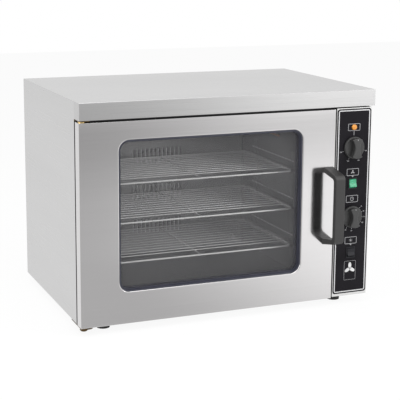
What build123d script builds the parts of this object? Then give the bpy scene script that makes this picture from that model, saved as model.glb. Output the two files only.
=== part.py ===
from build123d import *
from math import cos, sin, tan, radians
import os

# A countertop convection oven. Millimetres, +Z up, standing on Z = 0, its door towards -Y.
# Depths are counted backwards from the front face of the hood.

# Overall sizes
case_width = 810.0
case_depth = 535.0
body_height = 558.0
foot_height = 23.0
handle_reach = 62.0        # front of the grip ahead of the hood
gland_reach = 16.0         # tip of the cable gland behind the rear panel

# Sheet and small clearances
sheet = 1.2
tray_sheet = 1.5
cavity_sheet = 0.8
edge_round = 1.0
moving_gap = 0.3           # between faces that move past each other
running_gap = 0.05         # round a shaft or pin, on the radius
hole_gap = 0.1             # round a screw or a boss, on the radius
cut_over = 1.0             # how far a cut runs past the face it opens
same_place = 0.01          # two edges closer than this lie at one place

# Hood and casing
hood_depth = 43.0
hood_height = 43.0
hood_lip = 12.0
flange = 15.0
tray_flange = 20.0
vent_width = 4.0
vent_length = 60.0
vent_pitch = 12.0
vent_count = 9
vent_middle = 36.0         # middle of a rear vent from the fan's axis
vent_corner = 1.8
casing_screws = 4          # up each side of the rear panel

# Door
fascia_side_gap = 7.0      # between the fascia and the side of the case
door_thickness = 31.0
door_back_gap = 8.0        # between the door and the front frame
door_drop = 2.0            # door below the underside of the body
hinge_inset_x = 12.0
hinge_inset_d = 17.0
hinge_block = 26.0

# Window
window_left_margin = 101.0
window_right_margin = 95.0
window_top_margin = 47.0
window_bottom_margin = 82.0
window_corner = 27.0
window_rim = 9.0           # depth of the rolled rim round the cut-out
rim_round = 3.4
glass_thickness = 4.0
glass_overlap = 10.0
gasket_lip = 6.0
gasket_wall = 2.5          # of the lining inside the rim
gasket_thickness = 3.0
inner_gasket_lip = 6.0
inner_gasket_thickness = 1.0
retainer_foot = 19.0

# Hinges
pin_radius = 4.0
bush_radius = 6.5
bush_flange_radius = 9.0
pin_engagement = 12.0
bracket_width = 32.0
bracket_thickness = 3.0
bottom_washer = 1.0        # between the door and the bottom bracket
top_bracket_gap = 2.7      # top bracket above the door
bracket_tail = 52.0
bracket_flange_height = 28.0
bracket_setback = 2.0      # of its front behind the front of the door
bracket_corner = 14.0
pin_head_radius = 10.0     # the domed nut under the bottom bracket
pin_head = 7.0
pin_head_round = 5.0
bracket_screw_first = 18.2
bracket_screw_pitch = 20.8

# Handle
handle_width = 29.0
handle_inset = 3.0         # from the door's right edge
handle_top_drop = 150.5    # below the top of the door
handle_height = 208.0
handle_strap = 13.0
handle_arm_drop = 14.0     # how far the arm slopes before the grip
handle_foot = 15.0
handle_screw_depth = 9.0
handle_screw_inset = 8.25
handle_inner_drop = 10.4   # the inner corner below the outer one
handle_inner_bend = 9.1
handle_edge_round = 2.86

# Cavity
side_air = 21.0            # between the insulation and the left side panel
floor_air = 9.5            # between the insulation and the tray
roof_air = 48.0            # between the insulation and the top cover
cavity_corner = 3.0
cavity_flange = 14.0
insulation = 40.0
insulation_right = 30.0
insulation_rear = 25.0
support_width = 30.0
support_inset = 30.0        # from the front and back of the cavity
seal_width = 12.0
seal_offset = 6.0
seal_round = 3.0

# Shelves and racks
shelf_side_gap = 20.0      # between the shelf and the cavity wall
shelf_back_gap = 8.0       # between the shelf and the baffle
shelf_front = 72.0
shelf_rise = 82.0          # the lowest shelf above the cavity floor
shelf_pitch = 102.0
shelf_count = 3
rail_radius = 2.5
wire_radius = 1.4
spine_radius = 2.0
wire_first = 40.0
wire_last = 13.0           # the last wire ahead of the rear rail
wire_count = 12
rail_corner = 20.0
wire_bite = 0.3            # how far crossing wires are welded into each other
ledge_sheet = 1.5
ledge_width = 23.0
ledge_leg = 12.0
upright_width = 20.0
upright_over = 40.0        # the uprights run past the lowest and highest shelves
upright_front_inset = 38.0
upright_rear_inset = 49.0

# Fan, baffle and heating
baffle_sheet = 1.0
baffle_air = 5.0           # between the baffle and the nose of the shaft
baffle_side_gap = 23.0
baffle_end_gap = 12.0
baffle_flange = 15.0
slot_width = 5.5
slot_height = 44.0
slot_pitch = 12.6
slot_count = 12
slot_rise = 3.0            # centre of a row of slots above its shelf
post_inset_x = 27.0
post_inset_z = 18.0
post_radius = 5.0
thumb_radius = 7.0
thumb_height = 8.0
thumb_screw_radius = 3.0
thumb_screw_length = 22.0
thumb_knurls = 12
thumb_knurl_radius = 0.7
impeller_radius = 95.0
impeller_depth = 26.0
impeller_rear_gap = 6.0
blade_count = 16
blade_inner = 45.0
blade_sheet = 1.5
blade_inset = 0.5
hub_radius = 14.0
shaft_radius = 4.0
shaft_in_motor = 33.0
shaft_nose = 2.0
element_clear = 20.0       # the ring's radius past the impeller's
element_tube = 4.2
element_gap_angle = 20.0
element_setback = 18.0     # of the ring from the back wall of the cavity
element_leg_out = 38.0     # its ends behind that wall
element_collar = 7.0
motor_radius = 42.0
motor_length = 54.0
motor_flange = 96.0
motor_plate = 2.0
motor_rear_gap = 6.5
motor_corner = 15.0
motor_round = 4.0
bracket_plate = 130.0
leg_offset = 52.0
leg_radius = 5.0
bracket_air = 3.5          # between the rear insulation and the motor bracket
motor_screw_offset = 38.0

# Controls
fascia_width = 104.0
fascia_gap = 3.0           # between the door and the fascia
fascia_top_gap = 3.5       # under the hood
fascia_lift = 1.0          # above the underside of the body
fascia_border = 12.0
overlay_thickness = 0.5
overlay_side_margin = 1.5
overlay_top_margin = 2.5
overlay_bottom_margin = 7.0
overlay_corner = 7.0
lamp_drop = 51.7           # these drops are below the top of the fascia
thermostat_drop = 106.0
power_drop = 202.5
timer_drop = 293.0
light_drop = 391.0
lamp_radius = 7.5
lamp_neck = 6.0
lamp_proud = 5.0
lamp_tail = 26.5
lamp_round = 4.0
knob_radius = 29.5
knob_skirt = 7.0
knob_grip_radius = 27.0
knob_grip_height = 15.0
knob_waist = 7.5
knob_scoop = 38.0
knob_lift = 1.0
knob_skirt_round = 3.85
knob_face_round = 2.0
spindle_radius = 3.0
spindle_in_knob = 14.0
spindle_in_body = 20.0
bush_neck = 5.0
bush_proud = 2.5
thermostat_size = 44.0
timer_size = 50.0
control_depth = 35.0
rocker_radius = 12.0
rocker_width = 20.0
rocker_face = 5.5
rocker_tilt = 11.0
rocker_pin = 1.5
rocker_pin_length = 1.2
bezel_width = 26.4
bezel_height = 30.8
bezel_thickness = 1.5
switch_width = 24.0
switch_height = 28.0
switch_depth = 22.5
pivot_depth = 4.5          # behind the front of the bezel

# Thermostat bulb and its thin tube
bulb_radius = 3.0
bulb_round = 2.4
bulb_length = 100.0
bulb_tail = 30.0           # straight tube behind the bulb
bulb_drop = 55.0           # below the cavity ceiling
capillary_radius = 1.0
capillary_bend = 14.0
capillary_first_bend = 2.8   # where it leaves the bulb beside the cavity wall
capillary_gap = 15.0       # ahead of the rear uprights of the racks
capillary_back = 56.0      # where it starts to bend towards the thermostat
capillary_approach = 33.6
capillary_hole = 3.0

# Oven light in the cavity ceiling
light_depth = 150.0
light_radius = 25.0
light_flange_radius = 34.0
light_flange = 2.0
light_body_height = 42.0
light_socket = 21.0
lens_radius = 30.0
lens_height = 20.0
lens_wall = 3.0
lens_round = 12.0
bulb_glass_radius = 8.0
bulb_glass_round = 7.2
bulb_glass_gap = 6.0       # above the underside of the lens

# Feet, terminal block, gland, catch
foot_inset = 75.0          # from the side of the case
foot_front = 63.0
foot_rear = 60.0           # from the rear panel
foot_radius = 18.0
foot_base_radius = 17.0
foot_recess_radius = 9.0
foot_recess = 7.0
foot_screw_radius = 3.0
foot_screw_head = 6.0
foot_screw_head_height = 4.0
gland_inset = 65.0         # from the side of the case
gland_z = 66.0
gland_bore = 5.5
gland_thread = 10.0
gland_hex = 14.0
gland_nut = 10.0
gland_lock_nut = 5.8
gland_dome = 11.2
gland_round = 3.6
terminal_width = 60.0
terminal_length = 22.0
terminal_height = 20.0
terminal_ways = 3
terminal_setback = 135.0   # from the rear panel
limit_width = 30.0
limit_length = 40.0
limit_height = 40.0
limit_drop = 80.0          # below the thermostat bulb
magnet_width = 16.0
magnet_height = 50.0
magnet_offset = 30.0       # from the side of the cavity mouth
keeper_thickness = 1.0
keeper_corner = 2.0
screw_radius = 2.0
screw_head_radius = 4.0
screw_head = 2.2
screw_length = 7.0

# Places worked out from the sizes
hood_front = handle_reach - (handle_reach + case_depth + gland_reach) / 2
side = case_width / 2
inner_side = side - sheet
top = foot_height + body_height
under_top = top - sheet
hood_bottom = top - hood_height
tray_bottom = foot_height + sheet
tray_top = tray_bottom + tray_sheet
frame_depth = hood_depth + sheet
rear_inner = case_depth - sheet
fascia_right = side - fascia_side_gap
fascia_left = fascia_right - fascia_width
door_back = hood_depth - door_back_gap
door_front = door_back - door_thickness
door_left = -side
door_right = fascia_left - fascia_gap
door_bottom = foot_height - door_drop
door_top = hood_bottom - moving_gap - bracket_thickness - top_bracket_gap
window_left = door_left + window_left_margin
window_right = door_right - window_right_margin
window_bottom = door_bottom + window_bottom_margin
window_top = door_top - window_top_margin
hinge_x = door_left + hinge_inset_x
hinge_depth = door_front + hinge_inset_d
middle = (door_left + door_right) / 2
cavity_left = door_left + sheet + side_air + insulation + cavity_sheet
cavity_right = 2 * middle - cavity_left
cavity_width = cavity_right - cavity_left
cavity_bottom = tray_top + floor_air + insulation + cavity_sheet
cavity_top = under_top - roof_air - insulation - cavity_sheet
leg_length = insulation_rear + bracket_air
cavity_shell_back = rear_inner - motor_rear_gap - motor_length - motor_plate - leg_length
cavity_back = cavity_shell_back - cavity_sheet
partition = cavity_right + cavity_sheet + insulation_right
support_front = frame_depth + support_inset
support_rear = cavity_shell_back - support_inset - support_width
shelf_heights = [cavity_bottom + shelf_rise + shelf_pitch * i for i in range(shelf_count)]
fan_height = shelf_heights[1]
impeller_back = cavity_back - impeller_rear_gap
impeller_front = impeller_back - impeller_depth
baffle_back = impeller_front - shaft_nose - baffle_air
baffle_front = baffle_back - baffle_sheet
shelf_width = cavity_width - 2 * shelf_side_gap
shelf_depth = baffle_front - shelf_back_gap - shelf_front
shelf_back = shelf_front + shelf_depth
upright_depths = (shelf_front + upright_front_inset, shelf_back - upright_rear_inset)
wire_pitch = (shelf_depth - 2 * rail_radius - wire_first - wire_last) / (wire_count - 1)
element_radius = impeller_radius + element_clear
element_depth = cavity_back - element_setback
bracket_depth = cavity_shell_back + leg_length
motor_face = bracket_depth + motor_plate
fascia_top = hood_bottom - fascia_top_gap
fascia_bottom = foot_height + fascia_lift
fascia_front = door_front
fascia_back = fascia_front + sheet
overlay_front = fascia_front - overlay_thickness
control_x = (fascia_left + fascia_right) / 2
light_x = middle
bulb_height = cavity_top - bulb_drop
capillary_turn_depth = upright_depths[1] - capillary_gap
bulb_end = capillary_turn_depth - bulb_tail
bulb_start = bulb_end - bulb_length
lip_back = door_front + window_rim
outer_glass_front = lip_back + gasket_thickness
outer_glass_back = outer_glass_front + glass_thickness
inner_panel_front = door_back - sheet
inner_glass_back = inner_panel_front - inner_gasket_thickness
inner_glass_front = inner_glass_back - glass_thickness
lamp_z = fascia_top - lamp_drop
thermostat_z = fascia_top - thermostat_drop
timer_z = fascia_top - timer_drop
switch_heights = [fascia_top - power_drop, fascia_top - light_drop]
pivot = overlay_front - bezel_thickness + pivot_depth
post_places = [(middle + sx * (cavity_width / 2 - baffle_side_gap - post_inset_x), z)
               for sx in (-1, 1)
               for z in (cavity_bottom + baffle_end_gap + post_inset_z,
                         cavity_top - baffle_end_gap - post_inset_z)]
foot_x = side - foot_inset
gland_x = side - gland_inset
foot_places = [(sx * foot_x, d) for sx in (-1, 1) for d in (foot_front, case_depth - foot_rear)]
corner_signs = [(-1, -1), (-1, 1), (1, -1), (1, 1)]
bottom_bracket_top = door_bottom - bottom_washer
bottom_bracket_underside = bottom_bracket_top - bracket_thickness
top_bracket_bottom = door_top + top_bracket_gap
top_bracket_top = top_bracket_bottom + bracket_thickness


# Simple solids, placed by x, depth and height
def block(x, d, z):
    size = Box(x[1] - x[0], d[1] - d[0], z[1] - z[0])
    return Pos((x[0] + x[1]) / 2, hood_front + (d[0] + d[1]) / 2, (z[0] + z[1]) / 2) * size


def plate(x, d, z, corner=0.0):
    outline = Rectangle(x[1] - x[0], z[1] - z[0])
    if corner > 0:
        outline = RectangleRounded(x[1] - x[0], z[1] - z[0], corner)
    slab = extrude(Plane.XZ * outline, amount=d[1] - d[0])
    return Pos((x[0] + x[1]) / 2, hood_front + d[1], (z[0] + z[1]) / 2) * slab


def rod(x, z, radius, d):
    return Pos(x, hood_front + d[1], z) * extrude(Plane.XZ * Circle(radius), amount=d[1] - d[0])


def post(x, d, radius, z):
    return Pos(x, hood_front + d, z[0]) * extrude(Circle(radius), amount=z[1] - z[0])


def bar(d, z, radius, x):
    return Pos(x[0], hood_front + d, z) * extrude(Plane.YZ * Circle(radius), amount=x[1] - x[0])


def hex_rod(x, z, radius, d):
    outline = Plane.XZ * RegularPolygon(radius, 6)
    return Pos(x, hood_front + d[1], z) * extrude(outline, amount=d[1] - d[0])


def window_plate(grow, d):
    return plate((window_left - grow, window_right + grow), d,
                 (window_bottom - grow, window_top + grow), window_corner + grow)


def mouth_plate(grow, d):
    return plate((cavity_left - grow, cavity_right + grow), d,
                 (cavity_bottom - grow, cavity_top + grow), cavity_corner + grow)


def edges_near(shape, axis, x=None, d=None, z=None):
    # the straight edges along one axis that pass the given place
    found = []
    for edge in shape.edges().filter_by(axis):
        at = edge.center()
        if x is not None and abs(at.X - x) > same_place:
            continue
        if d is not None and abs(at.Y - hood_front - d) > same_place:
            continue
        if z is not None and abs(at.Z - z) > same_place:
            continue
        found.append(edge)
    return found


def group(solids):
    return Compound(children=list(solids))


# Casing
def top_cover():
    cover = block((-side, side), (0, case_depth), (under_top, top))
    cover += block((-side, side), (0, sheet), (hood_bottom, top))
    cover += block((-side, side), (0, hood_lip), (hood_bottom, hood_bottom + sheet))
    for sx in (-1, 1):
        ends = sorted((sx * side, sx * inner_side))
        cover += block(ends, (0, hood_depth), (hood_bottom, top))
    outer = edges_near(cover, Axis.X, d=0, z=top) + edges_near(cover, Axis.X, d=0, z=hood_bottom)
    outer += edges_near(cover, Axis.Z, x=-side, d=0) + edges_near(cover, Axis.Z, x=side, d=0)
    outer += edges_near(cover, Axis.Y, x=-side, z=top) + edges_near(cover, Axis.Y, x=side, z=top)
    return fillet(outer, edge_round)


def side_panel(sx):
    wall = block(sorted((sx * side, sx * inner_side)), (hood_depth, case_depth), (foot_height, under_top))
    foot = block(sorted((sx * side, sx * (side - flange))),
                 (hood_depth + bracket_tail + flange, rear_inner - flange), (foot_height, tray_bottom))
    rear = block(sorted((sx * inner_side, sx * (inner_side - flange))),
                 (rear_inner - sheet, rear_inner), (tray_top, under_top))
    panel = wall + foot + rear
    for x, z in casing_screw_places():
        if x * sx > 0:
            panel -= rod(x, z, screw_radius + hole_gap, (rear_inner - sheet, rear_inner))
    return panel


def left_side_panel():
    return side_panel(-1)


def right_side_panel():
    panel = side_panel(1)
    for i in range(vent_count):
        z = tray_top + vent_length + i * vent_pitch
        d = case_depth - 2 * vent_length
        panel -= block((inner_side - sheet, side + sheet), (d, d + vent_length), (z, z + vent_width))
    return panel


def casing_screw_places():
    x = inner_side - flange / 2
    step = (under_top - tray_top) / casing_screws
    return [(sx * x, tray_top + step * (i + 0.5)) for sx in (-1, 1) for i in range(casing_screws)]


def rear_panel():
    panel = block((-inner_side, inner_side), (rear_inner, case_depth), (foot_height, under_top))
    for x, z in casing_screw_places():
        panel -= rod(x, z, screw_radius + hole_gap, (rear_inner, case_depth))
    panel -= rod(gland_x, gland_z, gland_thread + hole_gap, (rear_inner, case_depth))
    for sx in (-1, 1):
        for i in range(vent_count):
            z = fan_height + (i - (vent_count - 1) / 2) * vent_pitch
            x = middle + sx * vent_middle
            panel -= plate((x - vent_length / 2, x + vent_length / 2), (rear_inner, case_depth),
                           (z - vent_width / 2, z + vent_width / 2), vent_corner)
    return panel


def base_tray():
    tray = block((-inner_side, inner_side), (frame_depth, rear_inner), (tray_bottom, tray_top))
    for d in ((frame_depth, frame_depth + tray_sheet), (rear_inner - tray_sheet, rear_inner)):
        tray += block((-inner_side + 2 * flange, inner_side - 2 * flange), d,
                      (tray_bottom, tray_bottom + tray_flange))
    for x, d in foot_places:
        tray -= post(x, d, foot_screw_radius + hole_gap, (tray_bottom, tray_top))
    for x, d in bottom_bracket_screws():
        tray -= post(x, d, screw_radius + hole_gap, (tray_bottom, tray_top))
    return tray


def front_frame():
    frame = block((-inner_side, inner_side), (hood_depth, frame_depth), (foot_height, under_top))
    frame -= mouth_plate(0, (hood_depth, frame_depth))
    frame -= plate((fascia_left + fascia_border, fascia_right - fascia_border), (hood_depth, frame_depth),
                   (fascia_bottom + fascia_border, fascia_top - fascia_border), fascia_border / 2)
    for x, z in top_bracket_screws():
        frame -= rod(x, z, screw_radius + hole_gap, (hood_depth, frame_depth))
    return frame


def partition_panel():
    panel = block((partition, partition + sheet), (frame_depth + tray_sheet, rear_inner - tray_sheet),
                  (tray_top, under_top))
    panel -= bar(capillary_turn_depth, bulb_height, capillary_hole, (partition, partition + sheet))
    return panel


def pan_screw(head_at, direction):
    # a pan head screw: its head stands on head_at and its thread runs along direction
    axis = Vector(*direction)
    seat = Vector(*head_at)
    thread = extrude(Plane(origin=seat, z_dir=axis) * Circle(screw_radius), amount=screw_length)
    head = extrude(Plane(origin=seat, z_dir=axis * -1) * Circle(screw_head_radius), amount=screw_head)
    screw = thread + head
    crown = screw.edges().filter_by(GeomType.CIRCLE)
    far = max((e.center() - seat).dot(axis * -1) for e in crown)
    rim = [e for e in crown if abs((e.center() - seat).dot(axis * -1) - far) < same_place]
    return fillet(rim, screw_head / 2)


def bottom_bracket_screws():
    x = hinge_x + bracket_width / 2 - hinge_inset_x
    return [(x, hood_depth + bracket_screw_first + i * bracket_screw_pitch) for i in range(2)]


def top_bracket_screws():
    z = hood_bottom + bracket_flange_height / 2
    return [(hinge_x + dx, z) for dx in (0, bracket_width / 2)]


def machine_screws():
    screws = [pan_screw((x, hood_front + case_depth, z), (0, -1, 0)) for x, z in casing_screw_places()]
    screws += [pan_screw((x, hood_front + d, bottom_bracket_underside), (0, 0, 1))
               for x, d in bottom_bracket_screws()]
    screws += [pan_screw((x, hood_front + hood_depth - bracket_thickness, z), (0, 1, 0))
               for x, z in top_bracket_screws()]
    screws += [pan_screw((middle + sx * motor_screw_offset, hood_front + motor_face + motor_plate,
                          fan_height + sz * motor_screw_offset), (0, -1, 0)) for sx, sz in corner_signs]
    return group(screws)


def feet():
    solids = []
    for x, d in foot_places:
        place = Pos(x, hood_front + d, 0)
        foot = place * loft([Circle(foot_base_radius), Pos(0, 0, tray_bottom) * Circle(foot_radius)])
        foot -= post(x, d, foot_recess_radius, (0, foot_recess))
        foot -= post(x, d, foot_screw_radius + hole_gap, (0, tray_bottom))
        solids.append(foot)
    return group(solids)


def foot_screws():
    solids = []
    for x, d in foot_places:
        shank = post(x, d, foot_screw_radius, (foot_recess, tray_top + foot_screw_head_height))
        head = post(x, d, foot_screw_head, (foot_recess - foot_screw_head_height, foot_recess))
        nut = Pos(x, hood_front + d, tray_top) * extrude(RegularPolygon(foot_screw_head, 6),
                                                         amount=foot_screw_head_height)
        solids.append(shank + head + nut)
    return group(solids)


# Cavity and what lines it
def oven_cavity():
    shell = mouth_plate(cavity_sheet, (frame_depth, cavity_shell_back))
    shell += mouth_plate(cavity_flange, (frame_depth, frame_depth + cavity_sheet))
    shell -= mouth_plate(0, (frame_depth, cavity_back))
    shell -= rod(middle, fan_height, shaft_radius + hole_gap + motor_plate, (cavity_back, cavity_shell_back))
    for x, z in element_legs():
        shell -= rod(x, z, element_tube + hole_gap, (cavity_back, cavity_shell_back))
    shell -= bar(capillary_turn_depth, bulb_height, capillary_hole,
                 (cavity_right - cut_over, cavity_right + flange))
    shell -= post(light_x, light_depth, light_radius + hole_gap,
                  (cavity_top - cut_over, cavity_top + cavity_sheet))
    return shell


def cavity_supports():
    solids = []
    for d in (support_front, support_rear):
        x = (cavity_left + cavity_corner, cavity_right - cavity_corner)
        channel = block(x, (d, d + support_width), (tray_top, cavity_bottom - cavity_sheet))
        channel -= block(x, (d + sheet, d + support_width - sheet),
                         (tray_top, cavity_bottom - cavity_sheet - sheet))
        solids.append(channel)
    return group(solids)


def insulation_slabs():
    start = frame_depth + cavity_sheet
    end = cavity_shell_back
    shell_x = (cavity_left - cavity_sheet, cavity_right + cavity_sheet)
    shell_z = (cavity_bottom - cavity_sheet, cavity_top + cavity_sheet)
    left = block((shell_x[0] - insulation, shell_x[0]), (start, end), shell_z)
    right = block((shell_x[1], shell_x[1] + insulation_right), (start, end), shell_z)
    right -= bar(capillary_turn_depth, bulb_height, capillary_hole, (shell_x[1], shell_x[1] + insulation_right))
    above = block(shell_x, (start, end), (shell_z[1], shell_z[1] + insulation))
    above -= post(light_x, light_depth, light_radius + sheet, (shell_z[1], shell_z[1] + insulation))
    low = (support_front + support_width, support_rear)
    below = block(shell_x, low, (shell_z[0] - insulation, shell_z[0]))
    behind = block(shell_x, (end, end + insulation_rear), shell_z)
    behind -= rod(middle, fan_height, shaft_radius + leg_radius, (end, end + insulation_rear))
    for sx, sz in corner_signs:
        behind -= rod(middle + sx * leg_offset, fan_height + sz * leg_offset, leg_radius + sheet,
                      (end, end + insulation_rear))
    for x, z in element_legs():
        behind -= rod(x, z, element_collar + sheet, (end, end + insulation_rear))
    return group([left, right, above, below, behind])


def door_seal():
    depths = (door_back + moving_gap, hood_depth)
    ring = mouth_plate(seal_offset + seal_width, depths)
    front = [e for e in ring.edges() if abs(e.center().Y - hood_front - depths[0]) < same_place]
    ring = fillet(front, seal_round)
    return ring - mouth_plate(seal_offset, depths)


def shelf_rack(sx):
    wall = cavity_right if sx > 0 else cavity_left

    def span(a, b):
        return sorted((wall - sx * a, wall - sx * b))

    heights = (shelf_heights[0] - upright_over, shelf_heights[-1] + upright_over)
    front, rear = upright_depths
    rack = block(span(0, ledge_sheet), (front, front + upright_width), heights)
    rack += block(span(0, ledge_sheet), (rear, rear + upright_width), heights)
    reach = shelf_side_gap + 2 * rail_radius + ledge_sheet
    for height in shelf_heights:
        ledge_top = height - rail_radius - moving_gap
        depths = (shelf_front, shelf_back)
        rack += block(span(ledge_sheet - wire_bite, reach), depths, (ledge_top - ledge_sheet, ledge_top))
        rack += block(span(ledge_sheet - wire_bite, 2 * ledge_sheet), depths,
                      (ledge_top - ledge_leg, ledge_top))
    return rack


def shelf_racks():
    return group([shelf_rack(-1), shelf_rack(1)])


def shelf(height):
    half = shelf_width / 2 - rail_radius
    front = shelf_front + rail_radius
    back = shelf_back - rail_radius
    centre = Pos(middle, hood_front + (front + back) / 2, height)
    outline = centre * RectangleRounded(2 * half, back - front, rail_corner)
    path = outline.wire()
    frame = sweep(Plane(origin=path @ 0, z_dir=path % 0) * Circle(rail_radius), path=path)
    wire_height = height + rail_radius + wire_radius - wire_bite
    for i in range(wire_count):
        frame += bar(front + wire_first + i * wire_pitch, wire_height, wire_radius,
                     (middle - half, middle + half))
    spine_height = wire_height - wire_radius - spine_radius + wire_bite
    frame += rod(middle, spine_height, spine_radius, (front, back))
    return frame


def shelf_bottom():
    return shelf(shelf_heights[0])


def shelf_middle():
    return shelf(shelf_heights[1])


def shelf_top():
    return shelf(shelf_heights[2])


# Fan, baffle and heating
def fan_baffle():
    x = (cavity_left + baffle_side_gap, cavity_right - baffle_side_gap)
    z = (cavity_bottom + baffle_end_gap, cavity_top - baffle_end_gap)
    panel = block(x, (baffle_front, baffle_back), z)
    for edge in ((x[0], x[0] + baffle_sheet), (x[1] - baffle_sheet, x[1])):
        panel += block(edge, (baffle_front, baffle_back + baffle_flange), z)
    outline = Sketch()
    for height in shelf_heights:
        for i in range(slot_count):
            dx = (i - (slot_count - 1) / 2) * slot_pitch
            outline += Pos(middle + dx, height + slot_rise) * SlotOverall(slot_height, slot_width, rotation=90)
    slots = extrude(Plane.XZ * outline, amount=baffle_sheet + 2 * cut_over)
    panel -= Pos(0, hood_front + baffle_back + cut_over, 0) * slots
    for px, pz in post_places:
        panel -= rod(px, pz, thumb_screw_radius + hole_gap, (baffle_front, baffle_back))
    return panel


def baffle_posts():
    solids = []
    for x, z in post_places:
        stud = rod(x, z, post_radius, (baffle_back, cavity_back))
        stud -= rod(x, z, thumb_screw_radius + running_gap,
                    (baffle_back, baffle_front + thumb_screw_length + cut_over))
        solids.append(stud)
    return group(solids)


def baffle_thumbscrews():
    solids = []
    for x, z in post_places:
        depths = (baffle_front - thumb_height, baffle_front)
        head = rod(x, z, thumb_radius, depths)
        for i in range(thumb_knurls):
            angle = radians(360 / thumb_knurls * i)
            head -= rod(x + thumb_radius * cos(angle), z + thumb_radius * sin(angle), thumb_knurl_radius,
                        depths)
        thread = rod(x, z, thumb_screw_radius, (baffle_front, baffle_front + thumb_screw_length))
        solids.append(head + thread)
    return group(solids)


def element_legs():
    half = radians(element_gap_angle / 2)
    return [(middle + sx * element_radius * sin(half), fan_height - element_radius * cos(half))
            for sx in (-1, 1)]


def heating_element():
    centre = Vector(middle, hood_front + element_depth, fan_height)
    section = Pos(0, 0, -element_radius) * (Plane.YZ * Circle(element_tube))
    section = Rot(0, element_gap_angle / 2, 0) * section
    ring = revolve(section, Axis((0, 0, 0), (0, 1, 0)), 360 - element_gap_angle)
    element = Pos(*centre) * ring
    for x, z in element_legs():
        element += rod(x, z, element_tube, (element_depth, cavity_back + element_leg_out))
        element += Pos(x, hood_front + element_depth, z) * Sphere(element_tube)
        element += rod(x, z, element_collar, (cavity_shell_back, cavity_shell_back + element_collar))
    return element


def fan_impeller():
    disc = rod(middle, fan_height, impeller_radius, (impeller_back - blade_sheet, impeller_back))
    wheel = disc + rod(middle, fan_height, hub_radius, (impeller_front + blade_sheet, impeller_back))
    blade = block((blade_inner, impeller_radius - blade_inset),
                  (impeller_front, impeller_back - blade_sheet / 2), (-blade_sheet / 2, blade_sheet / 2))
    for i in range(blade_count):
        wheel += Pos(middle, 0, fan_height) * Rot(0, 360 / blade_count * i, 0) * blade
    wheel -= rod(middle, fan_height, shaft_radius, (impeller_front, impeller_back))
    return wheel


def motor_shaft():
    return rod(middle, fan_height, shaft_radius, (impeller_front - shaft_nose, motor_face + shaft_in_motor))


def fan_motor():
    flange_x = (middle - motor_flange / 2, middle + motor_flange / 2)
    flange_z = (fan_height - motor_flange / 2, fan_height + motor_flange / 2)
    body = plate(flange_x, (motor_face, motor_face + motor_plate), flange_z, motor_corner)
    can = rod(middle, fan_height, motor_radius, (motor_face, motor_face + motor_length))
    body += fillet(can.edges().filter_by(GeomType.CIRCLE), motor_round)
    body -= rod(middle, fan_height, shaft_radius + running_gap,
                (motor_face, motor_face + shaft_in_motor + motor_plate))
    for sx, sz in corner_signs:
        body -= rod(middle + sx * motor_screw_offset, fan_height + sz * motor_screw_offset,
                    screw_radius + hole_gap, (motor_face, motor_face + motor_plate))
    return body


def motor_bracket():
    half = bracket_plate / 2
    bracket = plate((middle - half, middle + half), (bracket_depth, motor_face),
                    (fan_height - half, fan_height + half), motor_corner)
    bracket -= rod(middle, fan_height, hub_radius, (bracket_depth, motor_face))
    for sx, sz in corner_signs:
        bracket += rod(middle + sx * leg_offset, fan_height + sz * leg_offset, leg_radius,
                       (cavity_shell_back, bracket_depth))
        bracket -= rod(middle + sx * motor_screw_offset, fan_height + sz * motor_screw_offset,
                       screw_radius + hole_gap, (bracket_depth, motor_face))
    return bracket


def thermostat_bulb():
    x = cavity_right - bulb_radius - moving_gap
    bulb = rod(x, bulb_height, bulb_radius, (bulb_start, bulb_end))
    return fillet(bulb.edges().filter_by(GeomType.CIRCLE), bulb_round)


def capillary_tube():
    x = cavity_right - bulb_radius - moving_gap
    inside = (partition + fascia_left) / 2
    back = fascia_back + control_depth
    points = [(x, bulb_end, bulb_height),
              (x, capillary_turn_depth, bulb_height),
              (inside, capillary_turn_depth, bulb_height),
              (inside, back + capillary_back, bulb_height),
              (control_x, back + capillary_approach, thermostat_z),
              (control_x, back, thermostat_z)]
    bends = [capillary_first_bend] + [capillary_bend] * (len(points) - 3)
    path = FilletPolyline(*[(px, hood_front + pd, pz) for px, pd, pz in points], radius=bends)
    return sweep(Plane(origin=path @ 0, z_dir=path % 0) * Circle(capillary_radius), path=path)


def oven_lamp_holder():
    flange_bottom = cavity_top - light_flange
    cup = post(light_x, light_depth, light_flange_radius, (flange_bottom, cavity_top))
    cup += post(light_x, light_depth, light_radius, (flange_bottom, cavity_top + light_body_height))
    cup -= post(light_x, light_depth, light_radius - lens_wall, (flange_bottom, cavity_top + light_socket))
    return cup


def oven_lamp_lens():
    low = cavity_top - light_flange - lens_height
    dome = post(light_x, light_depth, lens_radius, (low, cavity_top - light_flange))
    rim = [e for e in dome.edges().filter_by(GeomType.CIRCLE) if abs(e.center().Z - low) < same_place]
    dome = fillet(rim, lens_round)
    inside = low + lens_wall
    hollow = post(light_x, light_depth, lens_radius - lens_wall, (inside, cavity_top - light_flange))
    rim = [e for e in hollow.edges().filter_by(GeomType.CIRCLE) if abs(e.center().Z - inside) < same_place]
    return dome - fillet(rim, lens_round - lens_wall)


def oven_lamp_bulb():
    seat = cavity_top + light_socket
    low = cavity_top - light_flange - lens_height + bulb_glass_gap
    glass = post(light_x, light_depth, bulb_glass_radius, (low, seat))
    rim = [e for e in glass.edges().filter_by(GeomType.CIRCLE) if abs(e.center().Z - low) < same_place]
    return fillet(rim, bulb_glass_round)


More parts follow.
